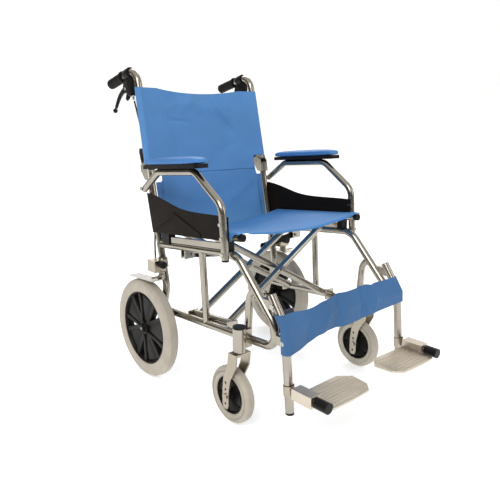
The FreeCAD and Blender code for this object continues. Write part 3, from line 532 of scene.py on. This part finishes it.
def hanger_y(height):
    """Y of a footrest hanger's axis behind the strap."""
    if height < BEND_HEIGHT:
        return BEND_Y - 0.0714 * (BEND_HEIGHT - height)
    return BEND_Y + 0.674 * (height - BEND_HEIGHT)


def strap_heights(x):
    """Lower and upper edge of the strap at a place across the chair."""
    rise = 0.5 + 0.5 * x / SIDE
    low = 0.233 + 0.034 * rise + 0.014 * math.exp(-((x + 0.10) / 0.07) ** 2)
    high = 0.328 + 0.006 * rise - 0.008 * math.exp(-((x + 0.13) / 0.05) ** 2)
    return low, high


def make_strap():
    reach = TUBE + 2.2 * MM
    section = [(SIDE + reach * math.sin(math.radians(angle)), -reach * math.cos(math.radians(angle)), 1)
               for angle in range(160, 0, -16)]
    section += [(x, -reach, 0) for x in np.linspace(SIDE, 0, 40)]
    section += [(-x, off, wrapped) for x, off, wrapped in reversed(section[:-1])]
    rows = []
    for share in np.linspace(0, 1, 26):
        row = []
        for x, off, wrapped in section:
            low, high = strap_heights(max(-SIDE, min(SIDE, x)))
            z = low + (high - low) * share
            y = hanger_y(z)
            if not wrapped:
                slack = 1 - (x / SIDE) ** 2
                pinch = (share - 0.5) * 2
                off += 9 * MM * slack
                off += 1.5 * (7 * MM * crease(x, z, (0.09, 0.350), (0.06, 0.262), 0.010, 1.0)
                        - 5 * MM * crease(x, z, (0.125, 0.352), (0.105, 0.266), 0.009, 1.0)
                        + 6 * MM * crease(x, z, (0.00, 0.345), (-0.05, 0.256), 0.014, 1.0)
                        - 5 * MM * crease(x, z, (-0.06, 0.335), (-0.11, 0.250), 0.012, 1.0)
                        + 4 * MM * crease(x, z, (-0.13, 0.320), (-0.165, 0.245), 0.010, 1.0)) * slack ** 0.5
                off += 2.5 * MM * slack * pinch ** 2
                off += 1.6 * MM * ripple(x, share * 0.05, 3, 26) * slack
            row.append(Vector((x, y + off, z)))
        rows.append(row)
    strap = cloth_piece("calf_cloth", np.array(rows), "strap_fabric", 1.8 * MM)
    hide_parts("calf_strap")
    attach(strap, "right_side")
    return strap


def make_strap_tab():
    """The closing tab behind the hanger, with its rows of hooks."""
    reach = TUBE + 7.5 * MM
    rows = []
    for share in np.linspace(0, 1, 12):
        z = 0.281 + 0.044 * share
        rows.append([Vector((x, hanger_y(z) + reach + 1.2 * MM * math.sin(x * 60), z))
                     for x in np.linspace(-SIDE - 6 * MM, -SIDE + 61 * MM, 30)])
    tab = cloth_piece("calf_tab", np.array(rows), "navy_fabric", 2.0 * MM)
    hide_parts("calf_strap_tab")
    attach(tab, "right_side")
    return tab


# ------------------------------------------------------------------ arm pads
def base_height(low, high, slope):
    """The thickness of a pad that lies along a slope, from its box."""
    return (high.z - low.z - (high.y - low.y) * math.sin(abs(slope))) / math.cos(slope) + 1.5 * MM


def make_arm_pad(side, sign):
    """A crowned pad with a rolled lower edge over its plastic base."""
    low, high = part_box(f"arm_pad_{side}")
    slope = math.atan2(-13, 177)
    length, width = (high.y - low.y) / math.cos(slope) + 1 * MM, high.x - low.x + 1 * MM
    height = base_height(low, high, slope)
    centre = Vector(((low.x + high.x) / 2, (low.y + high.y) / 2, (low.z + high.z) / 2))
    along = Vector((0, math.cos(slope), math.sin(slope)))
    up = Vector((0, -math.sin(slope), math.cos(slope)))
    across = Vector((1, 0, 0))
    rings, spokes = 20, 96
    vertices = []
    for ring in range(rings + 1):
        t = ring / rings
        lift = -math.cos(t * math.pi)
        inset = 1 - 0.995 * abs(lift) ** (3.4 if lift > 0 else 9)
        for spoke in range(spokes):
            angle = 2 * math.pi * spoke / spokes
            c, s = math.cos(angle), math.sin(angle)
            power = 0.36
            u = math.copysign(abs(c) ** power, c) * (width / 2) * max(0.02, inset)
            v = math.copysign(abs(s) ** (power * 1.6), s) * (length / 2) * max(0.02, inset ** 0.45)
            end = 1 - 0.25 * smooth_step(0.8, 1.0, abs(v) / (length / 2))
            rise = lift * height / 2 * (end if lift > 0 else 1)
            pucker = 0.35 * MM * ripple(u, v, rise + sign, 60)
            vertices.append(centre + across * u + along * v + up * (rise + pucker))
    faces = grid_faces(rings + 1, spokes, closed_columns=True)
    faces.append(tuple(range(spokes))[::-1])
    faces.append(tuple(rings * spokes + spoke for spoke in range(spokes)))
    pad = new_piece(f"arm_cushion_{side}", vertices, faces, "pad_fabric", f"{side}_side")
    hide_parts(f"arm_pad_{side}")


# ------------------------------------------------------------------ wheels
REAR_RIM, CASTER_RIM = 113.0, 51.0


def tyre_profile(half, rim, outside, grooves):
    """Closed section of a solid tyre: bulging walls, a round crown and shallow grooves round its tread."""
    def crown(place):
        return outside - 9.5 * abs(place / half) ** 3.2

    left = [(-half + 4.2, rim - 0.5), (-half + 2.2, rim + 1.2), (-half + 0.9, rim + 4.5),
            (-half + 0.15, rim + 9), (-half, (rim + outside) / 2), (-half + 0.35, outside - 14)]
    left += [(place, crown(place)) for place in np.linspace(-half + 0.4, grooves[0] - 2, 7)]
    tread = []
    for place in grooves:
        top = crown(place)
        tread += [(place - 0.9, top), (place - 0.5, top - 1.2), (place + 0.5, top - 1.2), (place + 0.9, top)]
    right = [(-along, radius) for along, radius in reversed(left)]
    return milli(left + tread + right)


def make_tyre(name, half, rim, outside, grooves, steps):
    node = name + "_tyre"
    body = next(key for key, members in frame["record"]["behaviour"]["bodies"].items() if node in members)
    piece = lathe(f"{name}_rubber", tyre_profile(half, rim, outside, grooves), middle(node), (1, 0, 0),
                  "grey_tyre", body, steps)
    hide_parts(node)


def sweep_box(vertices, faces, stations):
    """Adds a bar through stations, each a list of the same number of points round it."""
    first = len(vertices)
    count = len(stations[0])
    for station in stations:
        vertices += station
    for index in range(len(stations) - 1):
        for corner in range(count):
            a = first + index * count + corner
            b = first + index * count + (corner + 1) % count
            faces.append((a, b, b + count, a + count))
    faces.append(tuple(first + corner for corner in range(count))[::-1])
    faces.append(tuple(first + (len(stations) - 1) * count + corner for corner in range(count)))


def spoke_bar(centre, angle, start, end, scale, corner, spread, wide, deep):
    """Stations of one bar of a spoke; spread, wide and deep give its shape by share of its length."""
    radial = Vector((0, math.cos(angle), math.sin(angle)))
    aside = Vector((0, -math.sin(angle), math.cos(angle)))
    stations = []
    for share in np.linspace(0, 1, 9):
        radius = (start + (end - start) * share) * MM
        w, d = wide(share) * MM * scale, deep(share) * MM
        outline = rounded([(-d, -w), (d, -w), (d, w), (-d, w)], corner * MM, 2)
        stations.append([centre + radial * radius + aside * (spread(share) * MM * scale + v)
                         + Vector((u, 0, 0)) for u, v in outline])
    return stations


def make_rim(name, half, rim, hub, spokes, twin):
    """A moulded wheel: channelled ring, stepped hub and broad spokes; a twin spoke has two ribs on a web."""
    node = name + "_rim"
    body = next(key for key, members in frame["record"]["behaviour"]["bodies"].items() if node in members)
    centre = middle(node)
    edge = half - 4.0
    ring = [(-edge, rim + 0.8), (-edge - 1.0, rim - 1.0), (-edge - 0.6, rim - 3.2), (-edge + 2, rim - 4.6),
            (-edge + 6, rim - 8), (0, rim - 9.5), (edge - 6, rim - 8), (edge - 2, rim - 4.6),
            (edge + 0.6, rim - 3.2), (edge + 1.0, rim - 1.0), (edge, rim + 0.8), (0, rim - 3)]
    ring = lathe(f"{name}_ring", milli(ring), centre, (1, 0, 0), "wheel_core", body)
    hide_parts(node)
    end = 16.6 if twin else 15.6
    barrel = [(-end, 6.4), (-end, hub * 0.66), (-end + 2.5, hub * 0.72), (-end + 4, hub * 0.98),
              (-end + 8, hub), (end - 8, hub), (end - 4, hub * 0.98), (end - 2.5, hub * 0.72),
              (end, hub * 0.66), (end, 6.4)]
    lathe(f"{name}_hub", milli(rounded(barrel, 1.2)), centre, (1, 0, 0), "wheel_core", body, 64)
    vertices, faces = [], []
    start, scale = hub * 0.7, rim / REAR_RIM

    def rib_depth(share, hollow):
        return edge - 1.5 - hollow * math.sin(math.pi * share)

    def add_bar(angle, corner, spread, wide, deep):
        sweep_box(vertices, faces,
                  spoke_bar(centre, angle, start, rim - 7, scale, corner, spread, wide, deep))

    for index in range(spokes):
        angle = 2 * math.pi * (index + 0.42) / spokes
        if twin:
            for shift in (-1, 1):
                add_bar(angle, 1.6, lambda t: shift * (13.0 + 33 * t ** 1.1), lambda t: 5.5 + 3.0 * t,
                        lambda t: rib_depth(t, 2.5))
            add_bar(angle, 0.8, lambda t: 0, lambda t: 13.0 + 33 * t ** 1.1, lambda t: 8.0)
        else:
            add_bar(angle, 1.4, lambda t: 0, lambda t: 27 + 33 * t, lambda t: rib_depth(t, 2))
    new_piece(f"{name}_spokes", vertices, faces, "wheel_core", body)


def make_hub_cap(name, sign):
    """A round cap over the end of the rear axle, with a small steel centre."""
    centre = middle(name + "_rim")
    body = "rear_wheel_" + name.split("_")[1]
    cap = [(16.6, 0.3), (16.6, 13.4), (18.4, 13.0), (20.4, 11.0), (21.4, 7.0), (21.6, 0.3)]
    lathe(f"{name}_cap", milli(rounded(cap, 1.0), sign), centre, (1, 0, 0),
          "wheel_core", body, 40)
    nut = [(21.3, 0.3), (21.3, 4.2), (22.6, 3.6), (22.9, 0.3)]
    lathe(f"{name}_nut", milli(nut, sign), centre, (1, 0, 0), "fork_alloy", body, 24)


def make_wheels():
    for side, sign in SIDES:
        make_tyre(f"rear_{side}", 18.0, REAR_RIM, 152.4, (-9, -5.4, -1.8, 1.8, 5.4, 9), 180)
        make_rim(f"rear_{side}", 18.0, REAR_RIM, 21.0, 5, True)
        make_hub_cap(f"rear_{side}", sign)
        make_tyre(f"caster_{side}", 15.0, CASTER_RIM, 77.4, (-6, 0, 6), 128)
        make_rim(f"caster_{side}", 15.0, CASTER_RIM, 15.0, 5, False)


# ------------------------------------------------------------------ grips, levers and cables
def make_grip(side, sign):
    """Ribbed rubber sleeve with a flange at its front and a closed rounded end."""
    start = Vector((sign * HANDLE, 0.389, handle_z(0.389)))
    end = Vector((sign * HANDLE, 0.4704, handle_z(0.4704)))
    along = end - start
    length = along.length / MM
    profile = [(0, 11.1), (0, 17.0), (1, 17.8), (3.5, 17.8), (4.5, 17.0), (5, 14.8)]
    ribs = 12
    step = (length - 15) / ribs
    for rib in range(ribs):
        place = 7 + rib * step
        profile += [(place, 14.3), (place + step * 0.25, 15.5), (place + step * 0.7, 15.5),
                    (place + step * 0.9, 14.3)]
    profile += [(length - 6, 15.4), (length - 2.5, 15.3), (length - 0.6, 13.8), (length, 10.5), (length, 0.4),
                (length - 3, 0.4), (length - 3, 11.1)]
    grip = lathe(f"push_grip_{side}", milli(profile), start, along, "grip_rubber",
                 f"back_{side}", 64)
    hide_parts(f"handle_grip_{side}")


def handle_z(y):
    return 0.901 - HANDLE_SLOPE * (y - 0.394)


def plate_piece(name, outline, thickness, place, slot, body, bevel):
    """A flat moulded shape across X with rounded edges: outline of (y, z), place = X of its middle."""
    count = len(outline)
    vertices = [Vector((place + side * thickness / 2, y, z)) for side in (-1, 1) for y, z in outline]
    faces = [tuple(range(count))[::-1], tuple(range(count, 2 * count))]
    faces += [(i, (i + 1) % count, count + (i + 1) % count, count + i) for i in range(count)]
    obj = new_piece(name, vertices, faces, slot)
    bake(obj, ("BEVEL", {"width": bevel, "segments": 3, "limit_method": "ANGLE",
                         "angle_limit": math.radians(35)}))
    obj.data.shade_smooth()
    dress(obj, slot)
    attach(obj, body)
    return obj


def make_lever_parts(side, sign):
    """Brake lever with a ball end, its clamp housing, parking catch and pivot screw."""
    body = f"back_{side}"
    x = sign * HANDLE
    lever_outline = rounded(milli([(357, 862), (366, 875), (381, 875), (402, 864), (422, 850), (438, 830),
                                   (450, 811), (445, 807), (431, 824), (415, 840), (397, 852), (374, 856)]),
                            7 * MM, 3)
    lever = plate_piece(f"lever_blade_{side}", lever_outline, 8 * MM, x, "black_plastic", f"lever_{side}",
                        1.6 * MM)
    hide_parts(f"brake_lever_{side}")
    turns = [math.pi * step / 14 for step in range(15)]
    ball = [(-7.4 * math.cos(turn), max(0.2, 7.4 * math.sin(turn))) for turn in turns]
    lathe(f"lever_ball_{side}", milli(ball), Vector((x, 0.453, 0.802)), (1, 0, 0),
          "black_plastic", f"lever_{side}", 28)
    housing = rounded(milli([(332, 898), (352, 904), (374, 896), (381, 880), (383, 866), (371, 856),
                             (352, 846), (337, 843), (330, 858), (328, 880)]), 9 * MM, 3)
    shell = plate_piece(f"lever_housing_{side}", housing, 19 * MM, x, "black_plastic", body, 2.6 * MM)
    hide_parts(f"lever_bracket_{side}")
    low, high = (Vector((x, y, handle_z(y))) for y in (0.344, 0.372))
    length = (high - low).length
    ring = rounded([(0, TUBE), (0, 16 * MM), (length, 16 * MM), (length, TUBE)], 1.5 * MM, 2)
    lathe(f"lever_clamp_{side}", ring, low, high - low, "black_plastic", body, 48)
    catch = rounded(milli([(358, 862), (372, 838), (386, 830), (397, 836), (392, 850), (380, 866)]),
                    4 * MM, 2)
    plate_piece(f"parking_catch_{side}", catch, 3 * MM, x + 8.5 * MM * -sign, "black_plastic", body, 0.9 * MM)
    screw = [(0, 0.3), (0, 4.6), (1.6, 4.2), (2.4, 2.6), (2.5, 0.3)]
    lathe(f"lever_screw_{side}", milli(screw, sign),
          Vector((x + sign * 9.6 * MM, 0.366, 0.866)), (1, 0, 0), "bolt", body, 20)
    lathe(f"cable_barrel_{side}", milli([(0, 0.4), (0, 4.6), (9, 4.6), (10, 3.8), (16, 3.6), (17, 2.8),
                                         (17, 0.4)]),
          Vector((x, 0.340, 0.848)), Vector((0, -0.35, -1)), "bolt", body, 24)


CABLE_ROUTE = [(0, 331, 829), (0, 319, 800), (-1, 306, 764), (-4, 301, 726), (-8, 290, 686), (-9, 289, 644),
               (-8, 280, 604), (-3, 262, 566), (2, 248, 524), (5, 237, 480), (10, 226, 440), (22, 211, 404),
               (33, 192, 373)]


def make_cable(side, sign):
    """The brake cable, one smooth curve down behind the back post."""
    curve = bpy.data.curves.new(f"cable_{side}", "CURVE")
    curve.dimensions = "3D"
    curve.bevel_depth = 2.5 * MM
    curve.bevel_resolution = 5
    curve.resolution_u = 10
    curve.use_fill_caps = True
    spline = curve.splines.new("NURBS")
    spline.points.add(len(CABLE_ROUTE) - 1)
    for point, (across, y, z) in zip(spline.points, CABLE_ROUTE):
        point.co = (sign * (HANDLE + across * MM), y * MM, z * MM, 1)
    spline.order_u = 3
    spline.use_endpoint_u = True
    tube = bpy.data.objects.new(f"cable_curve_{side}", curve)
    bpy.context.scene.collection.objects.link(tube)
    graph = bpy.context.evaluated_depsgraph_get()
    mesh = bpy.data.meshes.new_from_object(tube.evaluated_get(graph), depsgraph=graph)
    bpy.data.objects.remove(tube)
    cable = bpy.data.objects.new(f"cable_sheath_{side}", mesh)
    bpy.context.scene.collection.objects.link(cable)
    mesh.shade_smooth()
    dress(cable, "cable_black")
    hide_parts(f"brake_cable_{side}")
    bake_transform(cable)


# ------------------------------------------------------------------ CAD nodes that keep their shape
def refine(node, width, angle=32):
    """Softens a CAD node's edges without touching its mesh."""
    obj = frame["nodes"][node]
    weld = obj.modifiers.new("weld", "WELD")
    weld.merge_threshold = 0.00002
    bevel = obj.modifiers.new("soft_edges", "BEVEL")
    bevel.width = width
    bevel.segments = 2
    bevel.limit_method = "ANGLE"
    bevel.angle_limit = math.radians(angle)
    bevel.use_clamp_overlap = True
    bevel.harden_normals = False
    normals = obj.modifiers.new("even_normals", "WEIGHTED_NORMAL")
    normals.keep_sharp = False


SLOT_OF = {row["node"]: row["material_slot"] for row in frame["record"]["subparts"]}
for node, obj in frame["nodes"].items():
    slot = SLOT_OF[node]
    if node.startswith("footplate_") and "bracket" not in node:
        slot = "plate_alloy"
    dress(obj, slot)

SOFTENED = {"footplate": 0.8, "footplate_bracket": 0.5, "brake_housing": 0.8, "skirt_guard": 0.6,
            "caster_fork": 0.8, "arm_pad_base": 1.0, "plastic_fittings": 0.6}
for part, width in SOFTENED.items():
    for side, sign in SIDES:
        refine(f"{part}_{side}", width * MM)

make_seat()
upper_back, lower_back = make_upper_back(), make_lower_back()
calf_strap, calf_tab = make_strap(), make_strap_tab()
make_wheels()
for side, sign in SIDES:
    make_arm_pad(side, sign)
    make_grip(side, sign)
    make_lever_parts(side, sign)
    make_cable(side, sign)

for piece in (upper_back, lower_back, calf_strap, calf_tab):
    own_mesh(piece)


# ------------------------------------------------------------------ studio
def make_stage():
    """A seamless white floor that curves up behind the chair."""
    profile = [(-4.0, 0)] + [(3.2 + 2.0 * math.sin(a), 2.0 - 2.0 * math.cos(a))
                             for a in np.linspace(0, math.pi / 2, 16)] + [(5.2, 9.0)]
    rows = [[Vector((x, y, z - 0.0003)) for y, z in profile] for x in (-9, 9)]
    mesh = bpy.data.meshes.new("studio_floor")
    mesh.from_pydata([tuple(p) for row in rows for p in row], [], grid_faces(2, len(profile)))
    mesh.shade_smooth()
    floor = bpy.data.objects.new("studio_floor", mesh)
    floor.rotation_euler = (0, 0, math.radians(-41.2))
    bpy.context.scene.collection.objects.link(floor)
    paint = bpy.data.materials.new("studio_white")
    paint.use_nodes = True
    surface = paint.node_tree.nodes["Principled BSDF"]
    surface.inputs["Base Color"].default_value = (0.88, 0.88, 0.88, 1)
    surface.inputs["Emission Color"].default_value = (1, 1, 1, 1)
    surface.inputs["Emission Strength"].default_value = 0.42
    surface.inputs["Roughness"].default_value = 0.9
    surface.inputs["Specular IOR Level"].default_value = 0.1
    floor.data.materials.append(paint)


def add_light(name, place, aim, size, power, colour=(1, 1, 1)):
    light = bpy.data.lights.new(name, "AREA")
    light.shape = "RECTANGLE"
    light.size, light.size_y = size
    light.energy = power
    light.color = colour
    obj = bpy.data.objects.new(name, light)
    obj.location = place
    obj.rotation_mode = "QUATERNION"
    obj.rotation_quaternion = (Vector(aim) - Vector(place)).to_track_quat("-Z", "Y")
    bpy.context.scene.collection.objects.link(obj)


def make_world():
    """White for the eye, a pale studio with a warm dark lower half for reflections."""
    world = bpy.data.worlds.new("studio")
    bpy.context.scene.world = world
    world.use_nodes = True
    tree = world.node_tree
    tree.nodes.clear()
    output = tree.nodes.new("ShaderNodeOutputWorld")
    light = tree.nodes.new("ShaderNodeBackground")
    direction = tree.nodes.new("ShaderNodeTexCoord")
    split = tree.nodes.new("ShaderNodeSeparateXYZ")
    ramp = tree.nodes.new("ShaderNodeValToRGB")
    shift = tree.nodes.new("ShaderNodeMapRange")
    shift.inputs["From Min"].default_value = -1
    tree.links.new(direction.outputs["Generated"], split.inputs[0])
    tree.links.new(split.outputs["Z"], shift.inputs["Value"])
    tree.links.new(shift.outputs["Result"], ramp.inputs["Fac"])
    stops = [(0.0, (0.30, 0.25, 0.20)), (0.47, (0.10, 0.08, 0.06)), (0.60, (0.08, 0.06, 0.045)),
             (0.74, (0.70, 0.68, 0.65)), (1.0, (1.0, 1.0, 1.0))]
    while len(ramp.color_ramp.elements) < len(stops):
        ramp.color_ramp.elements.new(0.5)
    for element, (place, colour) in zip(ramp.color_ramp.elements, stops):
        element.position = place
        element.color = (*colour, 1)
    tree.links.new(ramp.outputs["Color"], light.inputs["Color"])
    light.inputs["Strength"].default_value = 0.75
    white = tree.nodes.new("ShaderNodeBackground")
    white.inputs["Color"].default_value = (1, 1, 1, 1)
    path = tree.nodes.new("ShaderNodeLightPath")
    chosen = tree.nodes.new("ShaderNodeMixShader")
    tree.links.new(path.outputs["Is Camera Ray"], chosen.inputs["Fac"])
    tree.links.new(light.outputs[0], chosen.inputs[1])
    tree.links.new(white.outputs[0], chosen.inputs[2])
    tree.links.new(chosen.outputs[0], output.inputs["Surface"])


def make_camera():
    """The main view: from the front on the sitter's right, a little above the seat."""
    data = bpy.data.cameras.new("view")
    data.lens = 39.8
    data.sensor_width = 36
    camera = bpy.data.objects.new("view", data)
    place, aim = Vector((-1.0955, -1.1993, 0.7793)), Vector((-0.0061, 0.0465, 0.3843))
    camera.location = place
    camera.rotation_mode = "QUATERNION"
    camera.rotation_quaternion = (aim - place).to_track_quat("-Z", "Y")
    bpy.context.scene.collection.objects.link(camera)
    bpy.context.scene.camera = camera


make_stage()
make_world()
make_camera()
add_light("key", (-2.6, -1.6, 3.0), (0, 0, 0.5), (2.0, 2.0), 70)
add_light("fill", (1.8, -2.6, 1.6), (0, 0, 0.4), (1.4, 1.8), 18)
add_light("rim", (1.6, 2.4, 2.6), (0, 0, 0.6), (2.0, 1.6), 45)
bpy.context.scene.view_settings.view_transform = "Standard"
